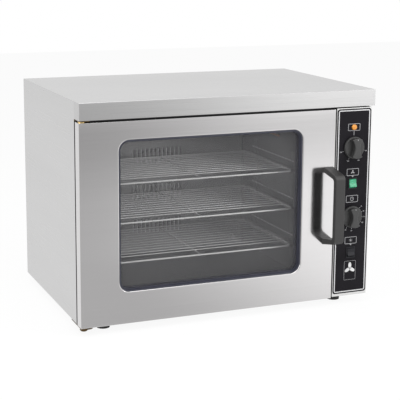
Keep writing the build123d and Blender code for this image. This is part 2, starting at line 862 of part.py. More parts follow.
# Controls
def control_fascia():
    x = (fascia_left, fascia_right)
    z = (fascia_bottom, fascia_top)
    fascia = block(x, (fascia_front, hood_depth), z)
    outer = edges_near(fascia, Axis.X, d=fascia_front) + edges_near(fascia, Axis.Z, d=fascia_front)
    fascia = fillet(outer, edge_round)
    fascia -= block((x[0] + sheet, x[1] - sheet), (fascia_back, hood_depth), (z[0] + sheet, z[1] - sheet))
    for height in (thermostat_z, timer_z):
        fascia -= rod(control_x, height, bush_neck + hole_gap, (fascia_front, fascia_back))
    fascia -= rod(control_x, lamp_z, lamp_neck + hole_gap, (fascia_front, fascia_back))
    for height in switch_heights:
        fascia -= block((control_x - switch_width / 2 - hole_gap, control_x + switch_width / 2 + hole_gap),
                        (fascia_front, fascia_back),
                        (height - switch_height / 2 - hole_gap, height + switch_height / 2 + hole_gap))
    return fascia


def fascia_overlay():
    depths = (overlay_front, fascia_front)
    label = plate((fascia_left + overlay_side_margin, fascia_right - overlay_side_margin), depths,
                  (fascia_bottom + overlay_bottom_margin, fascia_top - overlay_top_margin), overlay_corner)
    for height in (thermostat_z, timer_z):
        label -= rod(control_x, height, bush_neck + hole_gap, depths)
    label -= rod(control_x, lamp_z, lamp_neck + hole_gap, depths)
    for height in switch_heights:
        label -= block((control_x - switch_width / 2 - hole_gap, control_x + switch_width / 2 + hole_gap),
                       depths, (height - switch_height / 2 - hole_gap, height + switch_height / 2 + hole_gap))
    return label


def control_body(size, height):
    body = block((control_x - size / 2, control_x + size / 2), (fascia_back, fascia_back + control_depth),
                 (height - size / 2, height + size / 2))
    body += rod(control_x, height, bush_neck, (overlay_front - bush_proud, fascia_back))
    body -= rod(control_x, height, spindle_radius + running_gap,
                (overlay_front - bush_proud, fascia_back + spindle_in_body + cut_over))
    return body


def thermostat_body():
    return control_body(thermostat_size, thermostat_z)


def timer_body():
    return control_body(timer_size, timer_z)


def knob(height):
    back = overlay_front - knob_lift
    front = back - knob_skirt
    skirt = rod(control_x, height, knob_radius, (front, back))
    face_depth = front - knob_grip_height
    skirt_rim = [e for e in skirt.edges().filter_by(GeomType.CIRCLE)
                 if e.center().Y < hood_front + front + same_place]
    skirt = fillet(skirt_rim, knob_skirt_round)
    grip = rod(control_x, height, knob_grip_radius, (face_depth, front + cut_over))
    for sx in (-1, 1):
        grip -= rod(control_x + sx * (knob_scoop + knob_waist), height, knob_scoop,
                    (face_depth - cut_over, front))
    face = [e for e in grip.edges() if abs(e.center().Y - hood_front - face_depth) < same_place]
    grip = fillet(face, knob_face_round)
    piece = skirt + grip
    piece -= rod(control_x, height, bush_neck + bush_proud, (back - bush_proud, back))
    piece -= rod(control_x, height, spindle_radius, (back - bush_proud - spindle_in_knob, back))
    return piece


def spindle(height):
    back = overlay_front - knob_lift
    return rod(control_x, height, spindle_radius,
               (back - bush_proud - spindle_in_knob, fascia_back + spindle_in_body))


def thermostat_knob():
    return knob(thermostat_z)


def timer_knob():
    return knob(timer_z)


def thermostat_spindle():
    return spindle(thermostat_z)


def timer_spindle():
    return spindle(timer_z)


def indicator_lamp():
    lens = rod(control_x, lamp_z, lamp_radius, (overlay_front - lamp_proud, overlay_front))
    rim = [e for e in lens.edges().filter_by(GeomType.CIRCLE)
           if e.center().Y < hood_front + overlay_front - lamp_proud + same_place]
    neck = rod(control_x, lamp_z, lamp_neck, (overlay_front, overlay_front + lamp_tail))
    return fillet(rim, lamp_round) + neck


def switch_housings():
    solids = []
    bezel_front = overlay_front - bezel_thickness
    clear = rocker_radius + moving_gap
    wide = rocker_width / 2 + moving_gap
    for height in switch_heights:
        body = plate((control_x - bezel_width / 2, control_x + bezel_width / 2), (bezel_front, overlay_front),
                     (height - bezel_height / 2, height + bezel_height / 2), bezel_thickness)
        body += block((control_x - switch_width / 2, control_x + switch_width / 2),
                      (overlay_front, overlay_front + switch_depth),
                      (height - switch_height / 2, height + switch_height / 2))
        body -= bar(pivot, height, clear, (control_x - wide, control_x + wide))
        body -= block((control_x - wide, control_x + wide), (bezel_front, pivot),
                      (height - clear, height + clear))
        reach = rocker_width / 2 + rocker_pin_length + moving_gap
        body -= bar(pivot, height, rocker_pin + running_gap, (control_x - reach, control_x + reach))
        solids.append(body)
    return group(solids)


def rocker(height):
    # drawn level, then tipped so that its upper end is pressed in
    half = rocker_width / 2
    drum = Pos(-half, 0, 0) * extrude(Plane.YZ * Circle(rocker_radius), amount=rocker_width)
    for sz in (-1, 1):
        rise = rocker_radius * tan(radians(rocker_tilt))
        front = -2 * rocker_radius
        wedge = Plane.YZ * make_face(Polyline((-rocker_face, 0), (-rocker_face - rise, sz * rocker_radius),
                                              (front, sz * rocker_radius), (front, 0), close=True))
        drum -= Pos(-half, 0, 0) * extrude(wedge, amount=rocker_width)
    reach = half + rocker_pin_length
    pins = Pos(-reach, 0, 0) * extrude(Plane.YZ * Circle(rocker_pin), amount=2 * reach)
    return Pos(control_x, hood_front + pivot, height) * Rot(-rocker_tilt, 0, 0) * (drum + pins)


def power_rocker():
    return rocker(switch_heights[0])


def lamp_rocker():
    return rocker(switch_heights[1])


# Mains side
def limit_thermostat():
    x = partition + sheet
    z = bulb_height - limit_drop
    return block((x, x + limit_width), (bulb_start, bulb_start + limit_length), (z, z + limit_height))


def terminal_block():
    d = case_depth - terminal_setback
    z = (tray_top, tray_top + terminal_height)
    strip = block((gland_x - terminal_width / 2, gland_x + terminal_width / 2), (d - terminal_length, d), z)
    for i in range(terminal_ways):
        x = gland_x + (i - (terminal_ways - 1) / 2) * terminal_width / terminal_ways
        strip -= post(x, d - terminal_length / 2, screw_radius, (tray_top + terminal_height / 2, z[1]))
    return strip


def cable_gland():
    end = case_depth + gland_reach
    gland = rod(gland_x, gland_z, gland_thread, (rear_inner - gland_lock_nut, case_depth + gland_nut))
    gland += hex_rod(gland_x, gland_z, gland_hex, (case_depth, case_depth + gland_nut))
    gland += hex_rod(gland_x, gland_z, gland_hex, (rear_inner - gland_lock_nut, rear_inner))
    dome = rod(gland_x, gland_z, gland_dome, (case_depth + gland_nut, end))
    rim = [e for e in dome.edges().filter_by(GeomType.CIRCLE) if e.center().Y > hood_front + end - same_place]
    gland += fillet(rim, gland_round)
    return gland - rod(gland_x, gland_z, gland_bore, (rear_inner - gland_lock_nut, end))


# Hinges and catch

def hinge_brackets():
    x = (door_left + 2 * sheet, door_left + 2 * sheet + bracket_width)
    front = door_front + bracket_setback
    tail = hood_depth + bracket_tail
    bottom = plate_flat(x, (front, tail), (bottom_bracket_underside, bottom_bracket_top), bracket_corner)
    bottom += block(x, (frame_depth + bracket_thickness, tail), (bottom_bracket_top, tray_bottom))
    bottom -= post(hinge_x, hinge_depth, pin_radius, (bottom_bracket_underside, bottom_bracket_top))
    for sx, d in bottom_bracket_screws():
        bottom -= post(sx, d, screw_radius + hole_gap, (bottom_bracket_underside, tray_bottom))
    upper = plate_flat(x, (front, hood_depth), (top_bracket_bottom, top_bracket_top), bracket_corner)
    upper += block(x, (hood_depth - bracket_thickness, hood_depth),
                   (top_bracket_bottom, hood_bottom + bracket_flange_height))
    upper -= post(hinge_x, hinge_depth, pin_radius, (top_bracket_bottom, top_bracket_top))
    for sx, z in top_bracket_screws():
        upper -= rod(sx, z, screw_radius + hole_gap, (hood_depth - bracket_thickness, hood_depth))
    return group([bottom, upper])


def plate_flat(x, d, z, corner):
    # a level slab whose two front corners are rounded
    slab = block(x, d, z)
    corners = edges_near(slab, Axis.Z, d=d[0])
    return fillet(corners, corner)


def hinge_pins():
    foot = bottom_bracket_underside - pin_head
    head = post(hinge_x, hinge_depth, pin_head_radius, (foot, bottom_bracket_underside))
    rim = [e for e in head.edges().filter_by(GeomType.CIRCLE) if abs(e.center().Z - foot) < same_place]
    lower = post(hinge_x, hinge_depth, pin_radius, (bottom_bracket_underside, door_bottom + pin_engagement))
    lower += fillet(rim, pin_head_round)
    upper = post(hinge_x, hinge_depth, pin_radius, (door_top - pin_engagement, top_bracket_top))
    return group([lower, upper])


def hinge_bushes():
    lower = post(hinge_x, hinge_depth, bush_radius, (door_bottom, door_bottom + pin_engagement))
    lower += post(hinge_x, hinge_depth, bush_flange_radius, (bottom_bracket_top + moving_gap, door_bottom))
    lower -= post(hinge_x, hinge_depth, pin_radius + running_gap,
                  (bottom_bracket_top, door_bottom + pin_engagement))
    upper = post(hinge_x, hinge_depth, bush_radius, (door_top - pin_engagement, door_top))
    upper += post(hinge_x, hinge_depth, bush_flange_radius, (door_top, top_bracket_bottom - moving_gap))
    upper -= post(hinge_x, hinge_depth, pin_radius + running_gap,
                  (door_top - pin_engagement, top_bracket_bottom))
    return group([lower, upper])


def magnet_x():
    centre = cavity_right + magnet_offset + magnet_width / 2
    return (centre - magnet_width / 2, centre + magnet_width / 2)


def catch_magnet():
    z = fan_height
    return block(magnet_x(), (door_back + keeper_thickness + moving_gap, hood_depth),
                 (z - magnet_height / 2, z + magnet_height / 2))


def catch_keeper():
    z = fan_height
    return plate(magnet_x(), (door_back, door_back + keeper_thickness),
                 (z - magnet_height / 2, z + magnet_height / 2), keeper_corner)


# Door
def door_outer_skin():
    x = (door_left, door_right)
    z = (door_bottom, door_top)
    skin = block(x, (door_front, door_back), z)
    outer = edges_near(skin, Axis.X, d=door_front) + edges_near(skin, Axis.Z, d=door_front)
    outer += edges_near(skin, Axis.Y, x=door_left) + edges_near(skin, Axis.Y, x=door_right)
    skin = fillet(outer, edge_round)
    hollow = block((x[0] + sheet, x[1] - sheet), (door_front + sheet, door_back), (z[0] + sheet, z[1] - sheet))
    rim = window_plate(rim_round + sheet, (door_front, lip_back))
    hollow -= rim
    skin -= hollow
    skin -= window_plate(0, (door_front, lip_back))
    skin = fillet(hole_edges(skin, door_front), rim_round)
    pocket = window_plate(rim_round + sheet, (door_front + sheet, lip_back))
    core = window_plate(sheet, (door_front + sheet, lip_back))
    pocket -= core
    skin -= fillet(hole_edges(pocket, door_front + sheet), rim_round - sheet)
    for height, low, high in ((door_bottom, 0, sheet), (door_top, -sheet, 0)):
        skin -= post(hinge_x, hinge_depth, bush_radius, (height + low, height + high))
    for x_screw, z_screw in handle_screw_places():
        skin -= rod(x_screw, z_screw, screw_radius + hole_gap, (door_front, door_front + sheet))
    return skin


def hole_edges(shape, depth):
    # the edges of the holes in the flat face that lies at one depth
    found = []
    for face in shape.faces().filter_by(Axis.Y):
        if abs(face.center().Y - hood_front - depth) < same_place:
            for wire in face.inner_wires():
                found += wire.edges()
    return found


def door_inner_panel():
    panel = block((door_left + sheet, door_right - sheet), (inner_panel_front, door_back),
                  (door_bottom + sheet, door_top - sheet))
    return panel - window_plate(0, (inner_panel_front, door_back))


def door_hinge_blocks():
    x = (door_left + sheet, door_left + sheet + hinge_block)
    d = (door_front + sheet, inner_panel_front)
    lower = block(x, d, (door_bottom + sheet, door_bottom + sheet + hinge_block))
    lower -= post(hinge_x, hinge_depth, bush_radius, (door_bottom, door_bottom + pin_engagement))
    upper = block(x, d, (door_top - sheet - hinge_block, door_top - sheet))
    upper -= post(hinge_x, hinge_depth, bush_radius, (door_top - pin_engagement, door_top))
    return group([lower, upper])


def outer_glass():
    return window_plate(glass_overlap, (outer_glass_front, outer_glass_back))


def inner_glass():
    return window_plate(glass_overlap, (inner_glass_front, inner_glass_back))


def glass_gaskets():
    # the outer one also lines the rim in front of the glass
    lining = (door_front + rim_round, lip_back)
    outer = window_plate(glass_overlap, (lip_back, outer_glass_front)) + window_plate(0, lining)
    outer -= window_plate(-gasket_lip, (lip_back, outer_glass_front))
    outer -= window_plate(-gasket_wall, lining)
    inner = window_plate(glass_overlap, (inner_glass_back, inner_panel_front))
    inner -= window_plate(-inner_gasket_lip, (inner_glass_back, inner_panel_front))
    return group([outer, inner])


def glass_retainers():
    # strips that press each pane against its gasket: a foot on the sheet, a web and a lip on the glass
    strips = []
    web = glass_overlap + edge_round
    lengths_x = (window_left + window_corner, window_right - window_corner)
    lengths_z = (window_bottom + window_corner, window_top - window_corner)
    outer = ((door_front + sheet, door_front + 2 * sheet), (outer_glass_back, outer_glass_back + sheet))
    inner = ((inner_panel_front - sheet, inner_panel_front), (inner_glass_front - sheet, inner_glass_front))
    for foot, lip in (outer, inner):
        whole = (min(foot[0], lip[0]), max(foot[1], lip[1]))
        for edge, sign in ((window_left, -1), (window_right, 1)):
            def across(a, b):
                return sorted((edge + sign * a, edge + sign * b))
            strip = block(across(web, web + retainer_foot), foot, lengths_z)
            strip += block(across(web, web + sheet), whole, lengths_z)
            strips.append(strip + block(across(web + sheet, sheet), lip, lengths_z))
        for edge, sign in ((window_bottom, -1), (window_top, 1)):
            def across(a, b):
                return sorted((edge + sign * a, edge + sign * b))
            strip = block(lengths_x, foot, across(web, web + retainer_foot))
            strip += block(lengths_x, whole, across(web, web + sheet))
            strips.append(strip + block(lengths_x, lip, across(web + sheet, sheet)))
    return group(strips)


def handle_span():
    return (door_right - handle_inset - handle_width, door_right - handle_inset)


def handle_screw_places():
    x = (handle_span()[0] + handle_span()[1]) / 2
    high = door_top - handle_top_drop
    return [(x, high - handle_screw_inset), (x, high - handle_height + handle_screw_inset)]


def door_handle():
    high = door_top - handle_top_drop
    low = high - handle_height
    grip = -handle_reach
    inner = grip + handle_strap
    outline = [(door_front, high), (grip, high - handle_arm_drop), (grip, low + handle_arm_drop),
               (door_front, low), (door_front, low + handle_foot),
               (inner, low + handle_arm_drop + handle_inner_drop),
               (inner, high - handle_arm_drop - handle_inner_drop), (door_front, high - handle_foot)]
    face = make_face(Polyline(*[(hood_front + d, z) for d, z in outline], close=True))
    x = handle_span()
    bow = Pos(x[0], 0, 0) * extrude(Plane.YZ * face, amount=x[1] - x[0])
    bends = [e for e in bow.edges().filter_by(Axis.X)
             if e.center().Y < hood_front + grip + same_place]
    bow = fillet(bends, handle_strap)
    bends = [e for e in bow.edges().filter_by(Axis.X)
             if abs(e.center().Y - hood_front - inner) < same_place]
    bow = fillet(bends, handle_inner_bend)
    behind = hood_front + door_front - edge_round / 2
    sides = [e for e in bow.edges() if not e.is_interior and e.center().Y < behind
             and min(abs(e.center().X - x[0]), abs(e.center().X - x[1])) < same_place]
    bow = fillet(sides, handle_edge_round)
    for x_screw, z_screw in handle_screw_places():
        bow -= rod(x_screw, z_screw, screw_radius + hole_gap, (door_front - handle_screw_depth, door_front))
    return bow


def handle_screws():
    seat = hood_front + door_front + sheet
    return group(pan_screw((x, seat, z), (0, -1, 0)) for x, z in handle_screw_places())


nodes = [
    top_cover, left_side_panel, right_side_panel, rear_panel, base_tray, front_frame, partition_panel,
    machine_screws, feet, foot_screws, oven_cavity, cavity_supports, insulation_slabs, door_seal,
    shelf_racks, shelf_bottom, shelf_middle, shelf_top, fan_baffle, baffle_posts,
    baffle_thumbscrews, heating_element, fan_impeller, motor_shaft, fan_motor, motor_bracket,
    thermostat_bulb, capillary_tube, oven_lamp_holder, oven_lamp_lens, oven_lamp_bulb, control_fascia,
    fascia_overlay, thermostat_body, timer_body, thermostat_knob, timer_knob, thermostat_spindle,
    timer_spindle, indicator_lamp, switch_housings, power_rocker, lamp_rocker, limit_thermostat,
    terminal_block, cable_gland, hinge_brackets, hinge_pins, hinge_bushes, catch_magnet, catch_keeper,
    door_outer_skin, door_inner_panel, door_hinge_blocks, outer_glass, inner_glass, glass_gaskets,
    glass_retainers, door_handle, handle_screws,
]

os.makedirs("parts", exist_ok=True)
for node in nodes:
    export_step(node(), f"parts/{node.__name__}.step")
print(f"{len(nodes)} parts written")
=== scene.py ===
import bpy
from math import cos, pi, radians, sin
from mathutils import Matrix, Vector


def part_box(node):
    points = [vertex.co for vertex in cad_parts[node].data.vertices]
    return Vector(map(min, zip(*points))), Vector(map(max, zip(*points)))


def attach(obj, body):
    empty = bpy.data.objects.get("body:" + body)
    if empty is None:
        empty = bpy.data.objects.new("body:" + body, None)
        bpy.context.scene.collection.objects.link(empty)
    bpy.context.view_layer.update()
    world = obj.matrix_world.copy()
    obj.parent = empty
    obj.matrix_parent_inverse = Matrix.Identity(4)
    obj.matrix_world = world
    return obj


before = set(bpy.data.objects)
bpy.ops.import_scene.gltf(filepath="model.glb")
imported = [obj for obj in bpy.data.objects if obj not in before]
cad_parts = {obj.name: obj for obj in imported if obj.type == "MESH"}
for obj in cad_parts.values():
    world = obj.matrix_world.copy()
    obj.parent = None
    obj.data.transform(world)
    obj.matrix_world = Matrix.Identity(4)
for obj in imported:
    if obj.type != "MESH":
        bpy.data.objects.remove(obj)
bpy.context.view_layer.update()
print("stage: frame loaded")


# camera, floor and light
camera = {"place": (-1.17906, -2.85192, 0.95823), "yaw": 22.599, "pitch": 10.70, "roll": 0.405,
          "lens": 103.88, "shiftY": -0.1}
studio = {"floorSize": 14.0, "floorTone": (0.93, 0.93, 0.93), "ambient": 0.62, "shadowShare": 0.09}
cards = {"middleX": -0.1, "width": 3.2, "front": -0.95, "depth": 0.66, "height": 1.1, "lift": 0.001,
         "dark": 0.64, "bright": 1.30, "darkUpTo": -0.22, "brightFrom": 0.66,
         "levels": ((0.16, 1.0), (0.34, 0.76), (0.41, 0.76), (0.445, 1.15))}
# each softbox: its place, what it aims at, its size and its power in watts
lamps = {"topSoftbox": ((-0.3, -0.6, 2.4), (0, 0, 0.3), (2.2, 2.2), 29),
         "rightSoftbox": ((1.9, -1.6, 1.3), (0.2, -0.2, 0.3), (1.2, 1.2), 25),
         "leftSoftbox": ((-2.4, -0.6, 1.3), (0, 0, 0.3), (1.6, 1.6), 18)}


def addCamera():
    bpy.ops.object.camera_add(location=camera["place"])
    eye = bpy.context.object
    turn = Matrix.Rotation(radians(-camera["yaw"]), 3, "Z")
    turn = turn @ Matrix.Rotation(radians(90 - camera["pitch"]), 3, "X")
    turn = turn @ Matrix.Rotation(radians(camera["roll"]), 3, "Z")
    eye.rotation_euler = turn.to_euler()
    eye.data.lens = camera["lens"]
    eye.data.sensor_width = 36.0
    eye.data.shift_y = camera["shiftY"]
    eye.data.clip_start = 0.05
    bpy.context.scene.camera = eye


def newMaterial(name):
    finish = bpy.data.materials.new(name)
    finish.use_nodes = True
    nodes = finish.node_tree.nodes
    return finish, nodes, finish.node_tree.links, nodes["Principled BSDF"]


def seenRay(nodes, links):
    # 1 for camera, mirror and glass rays, 0 for the light that falls on things
    path = nodes.new("ShaderNodeLightPath")
    first = nodes.new("ShaderNodeMath")
    first.operation = "MAXIMUM"
    links.new(path.outputs["Is Camera Ray"], first.inputs[0])
    links.new(path.outputs["Is Glossy Ray"], first.inputs[1])
    second = nodes.new("ShaderNodeMath")
    second.operation = "MAXIMUM"
    links.new(first.outputs[0], second.inputs[0])
    links.new(path.outputs["Is Transmission Ray"], second.inputs[1])
    return second.outputs[0]


def addWorld():
    world = bpy.data.worlds.new("studioWorld")
    bpy.context.scene.world = world
    world.use_nodes = True
    nodes, links = world.node_tree.nodes, world.node_tree.links
    ground = nodes["Background"]
    ground.inputs["Color"].default_value = (1, 1, 1, 1)
    level = nodes.new("ShaderNodeMapRange")
    level.inputs["To Min"].default_value = studio["ambient"]
    level.inputs["To Max"].default_value = 1.0
    links.new(seenRay(nodes, links), level.inputs["Value"])
    links.new(level.outputs["Result"], ground.inputs["Strength"])


def addFloor():
    bpy.ops.mesh.primitive_plane_add(size=studio["floorSize"], location=(0, 0, 0))
    floor = bpy.context.object
    floor.name = "studioFloor"
    finish, nodes, links, shade = newMaterial("floorWhite")
    nodes.remove(shade)
    paint = nodes.new("ShaderNodeBsdfDiffuse")
    paint.inputs["Color"].default_value = (*studio["floorTone"], 1)
    white = nodes.new("ShaderNodeEmission")
    share = nodes.new("ShaderNodeMapRange")
    share.inputs["To Min"].default_value = 0.0
    share.inputs["To Max"].default_value = 1.0 - studio["shadowShare"]
    blend = nodes.new("ShaderNodeMixShader")
    links.new(seenRay(nodes, links), share.inputs["Value"])
    links.new(share.outputs["Result"], blend.inputs["Fac"])
    links.new(paint.outputs[0], blend.inputs[1])
    links.new(white.outputs[0], blend.inputs[2])
    links.new(blend.outputs[0], nodes["Material Output"].inputs["Surface"])
    floor.data.materials.append(finish)


def addCard(name, middle, size, tilt):
    # a studio card that only reflections see, brighter towards its right, with its tone also set by height
    bpy.ops.object.select_all(action="DESELECT")
    bpy.ops.mesh.primitive_plane_add(size=1, location=middle, rotation=(tilt, 0, 0))
    card = bpy.context.object
    card.name = name
    card.scale = (size[0], size[1], 1)
    bpy.ops.object.transform_apply(location=True, rotation=True, scale=True)
    finish, nodes, links, shade = newMaterial(name + "Grey")
    nodes.remove(shade)
    place = nodes.new("ShaderNodeTexCoord")
    across = nodes.new("ShaderNodeSeparateXYZ")
    links.new(place.outputs["Object"], across.inputs[0])
    spread = nodes.new("ShaderNodeMapRange")
    spread.interpolation_type = "SMOOTHSTEP"
    spread.inputs["From Min"].default_value = cards["darkUpTo"]
    spread.inputs["From Max"].default_value = cards["brightFrom"]
    spread.inputs["To Min"].default_value = cards["dark"]
    spread.inputs["To Max"].default_value = cards["bright"]
    links.new(across.outputs["X"], spread.inputs["Value"])
    fade = nodes.new("ShaderNodeValToRGB")
    stops = fade.color_ramp.elements
    while len(stops) < len(cards["levels"]):
        stops.new(1.0)
    for stop, (height, share) in zip(stops, cards["levels"]):
        stop.position = height
        stop.color = (share, share, share, 1)
    links.new(across.outputs["Z"], fade.inputs["Fac"])
    level = nodes.new("ShaderNodeMath")
    level.operation = "MULTIPLY"
    links.new(spread.outputs["Result"], level.inputs[0])
    links.new(fade.outputs["Color"], level.inputs[1])
    glow = nodes.new("ShaderNodeEmission")
    links.new(level.outputs[0], glow.inputs["Strength"])
    links.new(glow.outputs[0], nodes["Material Output"].inputs["Surface"])
    card.data.materials.append(finish)
    card.visible_camera = False
    card.visible_diffuse = False
    card.visible_transmission = False
    card.visible_shadow = False


def addLamp(name, place, aim, size, watts):
    bpy.ops.object.light_add(type="AREA", location=place)
    lamp = bpy.context.object
    lamp.name = name
    lamp.data.shape = "RECTANGLE"
    lamp.data.size, lamp.data.size_y = size
    lamp.data.energy = watts
    heading = Vector(aim) - Vector(place)
    lamp.rotation_euler = heading.to_track_quat("-Z", "Y").to_euler()


addCamera()
addWorld()
addFloor()
addCard("standingCard", (cards["middleX"], cards["front"], cards["height"] / 2),
        (cards["width"], cards["height"]), pi / 2)
addCard("lyingCard", (cards["middleX"], cards["front"] + cards["depth"] / 2, cards["lift"]),
        (cards["width"], cards["depth"]), 0)
for name, (place, aim, size, watts) in lamps.items():
    addLamp(name, place, aim, size, watts)
bpy.context.scene.view_settings.view_transform = "Standard"
print("stage: studio")


# finishes
def pattern(nodes, links, scale, detail, rough):
    # noise on the object's own coordinates, stretched by scale
    place = nodes.new("ShaderNodeTexCoord")
    stretch = nodes.new("ShaderNodeMapping")
    stretch.inputs["Scale"].default_value = scale
    noise = nodes.new("ShaderNodeTexNoise")
    noise.inputs["Scale"].default_value = 1.0
    noise.inputs["Detail"].default_value = detail
    noise.inputs["Roughness"].default_value = rough
    links.new(place.outputs["Object"], stretch.inputs["Vector"])
    links.new(stretch.outputs["Vector"], noise.inputs["Vector"])
    return noise.outputs["Fac"]


def between(nodes, links, value, low, high, start=0.3, stop=0.7):
    spread = nodes.new("ShaderNodeMapRange")
    spread.inputs["From Min"].default_value = start
    spread.inputs["From Max"].default_value = stop
    spread.inputs["To Min"].default_value = low
    spread.inputs["To Max"].default_value = high
    links.new(value, spread.inputs["Value"])
    return spread.outputs["Result"]


def tinted(nodes, links, value, dark, light, start=0.3, stop=0.7):
    ramp = nodes.new("ShaderNodeValToRGB")
    ramp.color_ramp.elements[0].position = start
    ramp.color_ramp.elements[0].color = (*dark, 1)
    ramp.color_ramp.elements[1].position = stop
    ramp.color_ramp.elements[1].color = (*light, 1)
    links.new(value, ramp.inputs["Fac"])
    return ramp.outputs["Color"]


def raised(nodes, links, shade, value, strength, distance):
    bump = nodes.new("ShaderNodeBump")
    bump.inputs["Strength"].default_value = strength
    bump.inputs["Distance"].default_value = distance
    links.new(value, bump.inputs["Height"])
    links.new(bump.outputs["Normal"], shade.inputs["Normal"])


def grainedMetal(name, values):
    # sheet or wire metal: fine grain along one axis, with a slow change of tone across it
    finish, nodes, links, shade = newMaterial(name)
    shade.inputs["Metallic"].default_value = values.get("metallic", 1.0)
    grain = pattern(nodes, links, values["grain"], 5.0, 0.65)
    cloud = pattern(nodes, links, values["cloud"], 2.0, 0.5)
    tone = nodes.new("ShaderNodeMath")
    tone.operation = "MULTIPLY_ADD"
    tone.inputs[1].default_value = 0.6
    links.new(grain, tone.inputs[0])
    half = nodes.new("ShaderNodeMath")
    half.operation = "MULTIPLY"
    half.inputs[1].default_value = 0.4
    links.new(cloud, half.inputs[0])
    links.new(half.outputs[0], tone.inputs[2])
    colour = tinted(nodes, links, tone.outputs[0], values["dark"], values["light"])
    links.new(colour, shade.inputs["Base Color"])
    links.new(between(nodes, links, grain, *values["rough"]), shade.inputs["Roughness"])
    raised(nodes, links, shade, grain, values["bump"], 0.0002)
    return finish


def mouldedFinish(name, values):
    # moulded plastic or rubber: a fine even texture with slight wear in its tone
    finish, nodes, links, shade = newMaterial(name)
    grit = pattern(nodes, links, (values["grit"],) * 3, 3.0, 0.6)
    cloud = pattern(nodes, links, (values["cloud"],) * 3, 2.0, 0.5)
    links.new(tinted(nodes, links, cloud, values["dark"], values["light"]), shade.inputs["Base Color"])
    links.new(between(nodes, links, grit, *values["rough"]), shade.inputs["Roughness"])
    shade.inputs["Specular IOR Level"].default_value = values.get("specular", 0.5)
    raised(nodes, links, shade, grit, values["bump"], 0.0002)
    return finish


def glassFinish(name, values):
    finish, nodes, links, shade = newMaterial(name)
    haze = pattern(nodes, links, (6, 6, 6), 3.0, 0.5)
    links.new(tinted(nodes, links, haze, values["dark"], values["light"]), shade.inputs["Base Color"])
    links.new(between(nodes, links, haze, *values["rough"]), shade.inputs["Roughness"])
    shade.inputs["Alpha"].default_value = values["alpha"]
    shade.inputs["IOR"].default_value = 1.5
    finish.surface_render_method = "BLENDED"
    return finish


def lensFinish(name, values):
    # a coloured lens with light behind it, speckled like a moulded diffuser
    finish, nodes, links, shade = newMaterial(name)
    speckle = pattern(nodes, links, (values["grit"],) * 3, 3.0, 0.5)
    links.new(tinted(nodes, links, speckle, values["dark"], values["light"]), shade.inputs["Base Color"])
    links.new(tinted(nodes, links, speckle, values["dark"], values["light"]), shade.inputs["Emission Color"])
    links.new(between(nodes, links, speckle, *values["rough"]), shade.inputs["Roughness"])
    shade.inputs["Emission Strength"].default_value = values["glow"]
    shade.inputs["Coat Weight"].default_value = 0.4
    raised(nodes, links, shade, speckle, 0.1, 0.0002)
    return finish


def dress(finish, *names):
    for name in names:
        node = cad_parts[name]
        if not node.material_slots:
            node.data.materials.append(finish)
        for place in node.material_slots:
            place.material = finish


steel = {"rough": (0.26, 0.36), "bump": 0.05}
polished = {"rough": (0.10, 0.16), "bump": 0.02}
# the door, hood and top, sides and fascia share one brushed stainless steel; their different tones are painted
# light, set panel by panel to how bright each face looks under the studio light: lighter on the door, darker on
# the top and hood
alongX = dict(steel, grain=(3, 500, 900), cloud=(1.2, 4, 9),
              dark=(0.49, 0.488, 0.488), light=(0.55, 0.548, 0.548))
doorLitTone = {"dark": (0.60, 0.59, 0.592), "light": (0.65, 0.64, 0.642)}
alongY = dict(steel, grain=(500, 3, 900), cloud=(4, 1.2, 9),
              dark=(0.545, 0.543, 0.543), light=(0.61, 0.608, 0.608))
alongZ = dict(steel, grain=(900, 500, 3), cloud=(9, 4, 1.2),
              dark=(0.60, 0.60, 0.595), light=(0.70, 0.70, 0.695))
doorSteel = grainedMetal("doorSteel", dict(alongX, **polished, **doorLitTone))
hoodSteel = grainedMetal("hoodSteel", alongX)
sideSteel = grainedMetal("sideSteel", alongY)
fasciaSteel = grainedMetal("fasciaSteel", alongZ)
backSheet = grainedMetal("galvanisedSheet", {"grain": (60, 60, 60), "cloud": (9, 9, 9), "rough": (0.38, 0.52),
                                             "dark": (0.46, 0.48, 0.49),
                                             "light": (0.60, 0.62, 0.63), "bump": 0.04})
liningSteel = grainedMetal("liningSteel", {"grain": (4, 300, 300), "cloud": (6, 6, 6), "rough": (0.38, 0.5),
                                           "dark": (0.22, 0.22, 0.225),
                                           "light": (0.30, 0.30, 0.305), "bump": 0.05})
# painted shade: the front frame is given a near-black tone to stand for the dark gap round the door
frameSteelPaintedShade = grainedMetal("frameSteelPaintedShade", {"grain": (4, 300, 300), "cloud": (6, 6, 6), "rough": (0.34, 0.46),
                                         "dark": (0.07, 0.07, 0.072),
                                         "light": (0.11, 0.11, 0.112), "bump": 0.05})
baffleSteel = grainedMetal("baffleSteel", {"grain": (5, 300, 300), "cloud": (5, 5, 5), "rough": (0.36, 0.48),
                                           "dark": (0.30, 0.30, 0.30),
                                           "light": (0.38, 0.38, 0.38), "bump": 0.05})
rackSteel = grainedMetal("rackSteel", {"grain": (300, 5, 300), "cloud": (6, 6, 6), "rough": (0.34, 0.44),
                                       "dark": (0.26, 0.26, 0.26), "light": (0.34, 0.34, 0.34), "bump": 0.04})
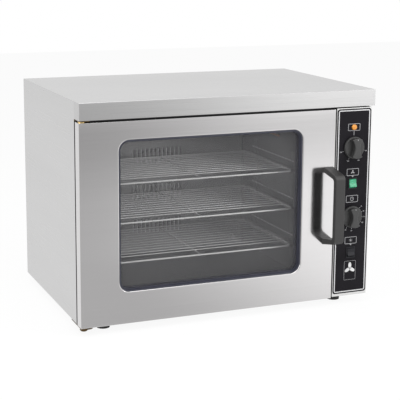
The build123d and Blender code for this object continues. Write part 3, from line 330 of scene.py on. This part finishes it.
# near-white, partly diffuse wires: a painted sheen that makes the chrome wires brighter than their reflections
# alone
chromeWirePaintedSheen = grainedMetal("chromeWirePaintedSheen", {"grain": (80, 80, 80), "cloud": (12, 12, 12), "rough": (0.18, 0.26),
                                         "metallic": 0.55, "dark": (0.93, 0.93, 0.92),
                                         "light": (1.0, 1.0, 0.99),
                                         "bump": 0.01})
screwSteel = grainedMetal("screwSteel", {"grain": (400, 400, 400), "cloud": (50, 50, 50), "rough": (0.22, 0.36),
                                         "dark": (0.55, 0.55, 0.54), "light": (0.68, 0.68, 0.66), "bump": 0.05})
elementSheath = grainedMetal("elementSheath", {"grain": (120, 120, 120), "cloud": (20, 20, 20), "metallic": 0.7,
                                               "rough": (0.45, 0.6), "dark": (0.12, 0.115, 0.11),
                                               "light": (0.2, 0.19, 0.18), "bump": 0.1})
castAlloy = grainedMetal("castAlloy", {"grain": (200, 200, 200), "cloud": (20, 20, 20), "rough": (0.35, 0.5),
                                       "dark": (0.55, 0.55, 0.55), "light": (0.68, 0.68, 0.68), "bump": 0.1})
turnedBrass = grainedMetal("turnedBrass", {"grain": (200, 200, 900), "cloud": (30, 30, 30),
                                           "rough": (0.2, 0.32),
                                           "dark": (0.60, 0.42, 0.16),
                                           "light": (0.76, 0.56, 0.26), "bump": 0.05})
# near-black brown for the hinge brackets and pins: painted shade, brass darkened to how it looks in the shadow
# under the door's corner
hingePaintedShade = grainedMetal("hingeMetalPaintedShade", {"grain": (200, 200, 200), "cloud": (25, 25, 25),
                                             "rough": (0.28, 0.42),
                                             "dark": (0.035, 0.024, 0.014),
                                             "light": (0.15, 0.10, 0.05), "bump": 0.05})
drawnCopper = grainedMetal("drawnCopper", {"grain": (200, 200, 200), "cloud": (25, 25, 25),
                                           "rough": (0.25, 0.4),
                                           "dark": (0.52, 0.28, 0.17),
                                           "light": (0.68, 0.40, 0.26), "bump": 0.03})
motorEnamel = mouldedFinish("motorEnamel", {"grit": 700, "cloud": 20, "rough": (0.35, 0.5), "bump": 0.08,
                                            "dark": (0.045, 0.045, 0.045), "light": (0.075, 0.075, 0.075)})
handleBlack = mouldedFinish("handleBlack", {"grit": 1500, "cloud": 14, "rough": (0.42, 0.54), "bump": 0.12,
                                            "dark": (0.019, 0.018, 0.018), "light": (0.026, 0.025, 0.025)})
knobBlack = mouldedFinish("knobBlack", {"grit": 1800, "cloud": 30, "rough": (0.36, 0.48), "bump": 0.1,
                                        "dark": (0.024, 0.024, 0.024), "light": (0.036, 0.036, 0.036)})
overlayBlack = mouldedFinish("overlayBlack", {"grit": 2500, "cloud": 12, "rough": (0.24, 0.32), "bump": 0.03,
                                              "dark": (0.010, 0.009, 0.011), "light": (0.014, 0.013, 0.016),
                                              "specular": 0.07})
switchBlack = mouldedFinish("switchBlack", {"grit": 1500, "cloud": 30, "rough": (0.3, 0.4), "bump": 0.05,
                                            "dark": (0.008, 0.008, 0.010), "light": (0.015, 0.015, 0.019),
                                            "specular": 0.2})
footRubber = mouldedFinish("footRubber", {"grit": 1200, "cloud": 30, "rough": (0.6, 0.75), "bump": 0.2,
                                          "dark": (0.018, 0.018, 0.018), "light": (0.03, 0.03, 0.03)})
sealRubber = mouldedFinish("sealRubber", {"grit": 1500, "cloud": 20, "rough": (0.5, 0.65), "bump": 0.15,
                                          "dark": (0.05, 0.05, 0.055), "light": (0.075, 0.075, 0.085)})
gasketRubber = mouldedFinish("gasketRubber", {"grit": 1500, "cloud": 20, "rough": (0.38, 0.5), "bump": 0.1,
                                              "dark": (0.035, 0.037, 0.055), "light": (0.05, 0.052, 0.075)})
paleMoulding = mouldedFinish("paleMoulding", {"grit": 900, "cloud": 25, "rough": (0.4, 0.55), "bump": 0.08,
                                              "dark": (0.68, 0.65, 0.58), "light": (0.8, 0.78, 0.72)})
mineralWool = mouldedFinish("mineralWool", {"grit": 500, "cloud": 18, "rough": (0.85, 0.98), "bump": 0.6,
                                            "dark": (0.55, 0.5, 0.36), "light": (0.74, 0.7, 0.55)})
doorGlass = glassFinish("doorGlass", {"dark": (0.145, 0.14, 0.15), "light": (0.18, 0.175, 0.185),
                                      "rough": (0.04, 0.08), "alpha": 0.13})
clearGlass = glassFinish("clearGlass", {"dark": (0.5, 0.52, 0.52), "light": (0.6, 0.62, 0.62),
                                        "rough": (0.03, 0.06), "alpha": 0.05})
greenLens = lensFinish("greenLens", {"grit": 260, "dark": (0.01, 0.20, 0.09), "light": (0.05, 0.44, 0.23),
                                     "rough": (0.25, 0.35), "glow": 0.12})
amberLens = lensFinish("amberLens", {"grit": 420, "dark": (0.36, 0.10, 0.01), "light": (0.92, 0.42, 0.06),
                                     "rough": (0.15, 0.25), "glow": 0.22})

dress(hoodSteel, "top_cover")
dress(frameSteelPaintedShade, "front_frame")
dress(doorSteel, "door_outer_skin", "door_inner_panel")
dress(sideSteel, "left_side_panel", "right_side_panel")
dress(fasciaSteel, "control_fascia")
dress(backSheet, "rear_panel", "base_tray", "partition_panel", "cavity_supports", "motor_bracket")
dress(liningSteel, "oven_cavity")
dress(baffleSteel, "fan_baffle")
dress(rackSteel, "shelf_racks", "glass_retainers")
dress(chromeWirePaintedSheen, "shelf_bottom", "shelf_middle", "shelf_top")
dress(screwSteel, "machine_screws", "foot_screws", "baffle_posts", "baffle_thumbscrews", "door_hinge_blocks",
      "handle_screws", "catch_keeper", "thermostat_spindle", "timer_spindle", "motor_shaft")
dress(elementSheath, "heating_element")
dress(castAlloy, "fan_impeller", "oven_lamp_holder")
dress(turnedBrass, "hinge_bushes")
dress(hingePaintedShade, "hinge_brackets", "hinge_pins")
dress(drawnCopper, "thermostat_bulb", "capillary_tube")
dress(motorEnamel, "fan_motor")
dress(handleBlack, "door_handle")
dress(knobBlack, "thermostat_knob", "timer_knob")
dress(overlayBlack, "fascia_overlay")
dress(switchBlack, "switch_housings", "lamp_rocker", "cable_gland", "catch_magnet")
dress(footRubber, "feet")
dress(sealRubber, "door_seal")
dress(gasketRubber, "glass_gaskets")
dress(paleMoulding, "thermostat_body", "timer_body", "limit_thermostat", "terminal_block")
dress(mineralWool, "insulation_slabs")
dress(doorGlass, "outer_glass")
dress(clearGlass, "inner_glass", "oven_lamp_lens", "oven_lamp_bulb")
dress(greenLens, "power_rocker")
dress(amberLens, "indicator_lamp")
print("stage: finishes")


# print on the control panel
panel = {"line": 1.2, "proud": 0.12, "ringInset": 3.6, "ringLine": 2.6, "ringCorner": 5.0,
         "box": (36.0, 19.0), "boxCorner": 2.5, "boxTwoZ": 362.5, "boxThreeZ": 290.0, "boxFourZ": 176.5,
         "leader": (1.4, 12.0), "pointer": (5.0, 3.2), "fanBlade": (1.6, 2.9), "fanHub": 1.0,
         "clockSign": 5.5, "lampSign": 4.2}
dials = {"tick": (0.9, 3.0), "tickRadius": 32.6, "numberRadius": 38.8, "numberHeight": 4.6,
         "knobMark": (1.6, 3.2), "knobMarkUp": 22.8,
         "degrees": ((106, "100"), (156, "150"), (204, "200"), (254, "250")),
         "minutes": ((48, "10"), (71, "20"), (95, "30"), (119, "40"), (178, "60"), (205, "80"), (232, "90"))}
badge = {"z": 93.5, "size": (35.0, 52.5), "line": 0.6, "corner": 2.5, "signZ": 99.0,
         "blade": (4.6, 8.4), "hub": 2.4}
mm = 0.001
overlayLow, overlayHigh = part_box("fascia_overlay")
face = overlayLow.y
controlX = (overlayLow.x + overlayHigh.x) / 2 / mm


def middleZ(node):
    low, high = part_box(node)
    return (low.z + high.z) / 2 / mm


def startFresh():
    if bpy.context.mode != "OBJECT":
        bpy.ops.object.mode_set(mode="OBJECT")
    bpy.ops.object.select_all(action="DESELECT")


def flatPlate(x, z, size, clock=0.0, depth=None):
    # a rectangle that faces forwards, in millimetres, turned like the hand of a clock
    startFresh()
    y = (face if depth is None else depth) - panel["proud"] * mm
    bpy.ops.mesh.primitive_plane_add(size=mm, location=(x * mm, y, z * mm),
                                     rotation=(pi / 2, radians(clock), 0))
    plate = bpy.context.object
    plate.scale = (size[0], size[1], 1)
    bpy.ops.object.transform_apply(location=True, rotation=True, scale=True)
    return plate


def flatDisc(x, z, radii, clock=0.0, vertices=28):
    startFresh()
    y = face - panel["proud"] * mm
    bpy.ops.mesh.primitive_circle_add(vertices=vertices, radius=mm, fill_type="NGON",
                                      location=(x * mm, y, z * mm), rotation=(pi / 2, radians(clock), 0))
    disc = bpy.context.object
    disc.scale = (radii[0], radii[1], 1)
    bpy.ops.object.transform_apply(location=True, rotation=True, scale=True)
    return disc


def hollowOut(shape, line, corner=0.0):
    # rounds the corners of a flat shape and leaves only a line round its edge
    startFresh()
    bpy.context.view_layer.objects.active = shape
    shape.select_set(True)
    bpy.ops.object.mode_set(mode="EDIT")
    bpy.ops.mesh.select_all(action="SELECT")
    if corner > 0:
        bpy.ops.mesh.bevel(offset=corner * mm, segments=5, affect="VERTICES")
        bpy.ops.mesh.select_all(action="SELECT")
    bpy.ops.mesh.inset(thickness=line * mm, use_even_offset=True)
    bpy.ops.mesh.delete(type="FACE")
    bpy.ops.object.mode_set(mode="OBJECT")
    return shape


def numeral(x, z, words):
    startFresh()
    bpy.ops.object.text_add(location=(x * mm, face - panel["proud"] * mm, z * mm), rotation=(pi / 2, 0, 0))
    letters = bpy.context.object
    letters.data.body = words
    letters.data.size = dials["numberHeight"] * mm
    letters.data.align_x = "CENTER"
    letters.data.align_y = "CENTER"
    letters.data.resolution_u = 3
    bpy.ops.object.convert(target="MESH")
    letters = bpy.context.object
    bpy.ops.object.transform_apply(location=True, rotation=True, scale=True)
    return letters


def printed(name, shapes, finish, body):
    # joins flat shapes into one piece of print and gives it its thickness
    startFresh()
    for shape in shapes:
        shape.select_set(True)
    bpy.context.view_layer.objects.active = shapes[0]
    if len(shapes) > 1:
        bpy.ops.object.join()
    ink = bpy.context.object
    ink.name = name
    thick = ink.modifiers.new("thickness", "SOLIDIFY")
    thick.thickness = panel["proud"] * mm
    thick.offset = -1.0
    bpy.ops.object.modifier_apply(modifier="thickness")
    ink.data.materials.clear()
    ink.data.materials.append(finish)
    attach(ink, body)


def fanSign(x, z, blade, hub):
    # three rounded blades about a hub
    blades = [flatDisc(x + sin(radians(a)) * blade[1], z + cos(radians(a)) * blade[1], blade, a)
              for a in (0, 120, 240)]
    return blades + [flatDisc(x, z, (hub, hub))]


def clockSign(x, z, radius):
    ring = hollowOut(flatDisc(x, z, (radius, radius)), panel["line"])
    return [ring, flatPlate(x, z + radius * 0.3, (1.0, radius * 0.6)),
            flatPlate(x + radius * 0.2, z, (radius * 0.4, 1.0))]


def lampSign(x, z, radius):
    rays = [flatPlate(x + sin(radians(a)) * radius, z + cos(radians(a)) * radius, (0.9, radius * 0.45), a)
            for a in range(0, 360, 60)]
    return rays + [flatDisc(x, z, (radius * 0.5, radius * 0.5))]


def dialMarks(centreZ, marks):
    shapes = []
    for clock, words in marks:
        dx, dz = sin(radians(clock)), cos(radians(clock))
        shapes.append(flatPlate(controlX + dx * dials["tickRadius"], centreZ + dz * dials["tickRadius"],
                                dials["tick"], clock))
        shapes.append(numeral(controlX + dx * dials["numberRadius"],
                              centreZ + dz * dials["numberRadius"], words))
    return shapes


def pointerUnder(z):
    # the small triangle that points from a box to its control
    return flatDisc(controlX, z - panel["box"][1] / 2 - panel["pointer"][1] / 3, panel["pointer"], 180, 3)


printWhite = mouldedFinish("printWhite", {"grit": 3000, "cloud": 40, "rough": (0.4, 0.5), "bump": 0.02,
                                          "dark": (0.60, 0.60, 0.60), "light": (0.70, 0.70, 0.70)})
printGrey = mouldedFinish("printGrey", {"grit": 3000, "cloud": 40, "rough": (0.4, 0.5), "bump": 0.02,
                                        "dark": (0.34, 0.34, 0.35), "light": (0.42, 0.42, 0.43)})
printPale = mouldedFinish("printPale", {"grit": 3000, "cloud": 40, "rough": (0.4, 0.5), "bump": 0.02,
                                        "dark": (0.42, 0.42, 0.43), "light": (0.52, 0.52, 0.53)})
printSilver = mouldedFinish("printSilver", {"grit": 3000, "cloud": 15, "rough": (0.3, 0.4), "bump": 0.02,
                                            "dark": (0.58, 0.58, 0.59), "light": (0.68, 0.68, 0.69)})

lampZ, thermostatZ, timerZ = middleZ("indicator_lamp"), middleZ("thermostat_knob"), middleZ("timer_knob")
border = flatPlate(controlX, (overlayLow.z + overlayHigh.z) / 2 / mm,
                   ((overlayHigh.x - overlayLow.x) / mm - 2 * panel["ringInset"],
                    (overlayHigh.z - overlayLow.z) / mm - 2 * panel["ringInset"]))
printed("panelBorder", [hollowOut(border, panel["ringLine"], panel["ringCorner"])],
        printSilver, "cabinet")
boxes = [hollowOut(flatPlate(controlX, z, panel["box"]), panel["line"], panel["boxCorner"])
         for z in (lampZ, panel["boxTwoZ"], panel["boxThreeZ"], panel["boxFourZ"])]
boxes += [pointerUnder(panel["boxTwoZ"]), pointerUnder(panel["boxFourZ"])]
boxes.append(flatPlate(controlX, lampZ - panel["box"][1] / 2 - panel["leader"][1] / 2, panel["leader"]))
printed("panelBoxes", boxes, printGrey, "cabinet")
signs = fanSign(controlX, panel["boxTwoZ"], panel["fanBlade"], panel["fanHub"])
signs += clockSign(controlX, panel["boxThreeZ"], panel["clockSign"])
signs += lampSign(controlX, panel["boxFourZ"], panel["lampSign"])
printed("panelSigns", signs, printGrey, "cabinet")
printed("thermostatMarks", dialMarks(thermostatZ, dials["degrees"]), printPale, "cabinet")
printed("timerMarks", dialMarks(timerZ, dials["minutes"]), printPale, "cabinet")
badgeLine = hollowOut(flatPlate(controlX, badge["z"], badge["size"]), badge["line"], badge["corner"])
printed("badgeLine", [badgeLine], printGrey, "cabinet")
printed("badgeSign", fanSign(controlX, badge["signZ"], badge["blade"], badge["hub"]),
        printWhite, "cabinet")
for dial, body, z in (("thermostat_knob", "thermostat_dial", thermostatZ),
                      ("timer_knob", "timer_dial", timerZ)):
    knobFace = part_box(dial)[0].y
    mark = flatPlate(controlX, z + dials["knobMarkUp"], dials["knobMark"], 0, knobFace)
    printed(dial + "Mark", [mark], printGrey, body)
print("stage: panel print")


# pressed details inside the oven: a lip beside each slot of the baffle, short ribs above each shelf; both are
# near white, a painted highlight for the glints on the baffle and the side walls
slots = {"count": 12, "pitch": 12.6, "rise": 3.0, "beside": 4.3, "lip": (2.6, 1.4, 40.0), "edge": 0.5}
ribs = {"count": 13, "pitch": 21.0, "first": 45.0, "above": 17.0, "rib": (2.0, 11.0, 3.6), "edge": 0.6}
railRadius = 2.5
shelfLevels = [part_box(name)[0].z + railRadius * mm for name in ("shelf_bottom", "shelf_middle", "shelf_top")]
shelfPitch = shelfLevels[1] - shelfLevels[0]


def glintBarRow(name, place, size, edge, repeats, finish):
    # one small bar with rounded edges, repeated by each (count, step) in turn
    startFresh()
    bpy.ops.mesh.primitive_cube_add(size=mm, location=place)
    bar = bpy.context.object
    bar.name = name
    bar.scale = size
    bpy.ops.object.transform_apply(location=True, rotation=True, scale=True)
    rounding = bar.modifiers.new("rounding", "BEVEL")
    rounding.width = edge * mm
    rounding.segments = 2
    rounding.limit_method = "NONE"
    bpy.ops.object.modifier_apply(modifier="rounding")
    for count, step in repeats:
        copies = bar.modifiers.new("copies", "ARRAY")
        copies.count = count
        copies.use_relative_offset = False
        copies.use_constant_offset = True
        copies.constant_offset_displace = step
        bpy.ops.object.modifier_apply(modifier="copies")
    bar.data.materials.append(finish)
    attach(bar, "cabinet")


baffleLow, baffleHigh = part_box("fan_baffle")
rackLow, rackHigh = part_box("shelf_racks")
# near-white steel, far lighter than the baffle and lining it sits on: painted highlight
glintPaintedSteel = grainedMetal("glintPaintedSteel", {"grain": (200, 200, 200), "cloud": (20, 20, 20),
                                             "rough": (0.2, 0.3),
                                             "metallic": 0.35, "dark": (0.85, 0.85, 0.84),
                                             "light": (0.97, 0.97, 0.96),
                                             "bump": 0.03})
firstSlot = (baffleLow.x + baffleHigh.x) / 2 - (slots["count"] - 1) / 2 * slots["pitch"] * mm
glintBarRow("slotLipsPaintedGlint", (firstSlot - slots["beside"] * mm, baffleLow.y - slots["lip"][1] * mm / 2,
                        shelfLevels[0] + slots["rise"] * mm),
           slots["lip"], slots["edge"],
           ((slots["count"], (slots["pitch"] * mm, 0, 0)), (len(shelfLevels), (0, 0, shelfPitch))),
           glintPaintedSteel)
ribX = rackLow.x + ribs["rib"][0] * mm / 2
glintBarRow("wallRibsPaintedGlint", (ribX, rackLow.y + ribs["first"] * mm, shelfLevels[0] + ribs["above"] * mm),
           ribs["rib"], ribs["edge"],
           ((ribs["count"], (0, ribs["pitch"] * mm, 0)), (len(shelfLevels), (0, 0, shelfPitch)),
            (2, (rackHigh.x - rackLow.x - ribs["rib"][0] * mm, 0, 0))),
           glintPaintedSteel)
print("stage: pressed details")
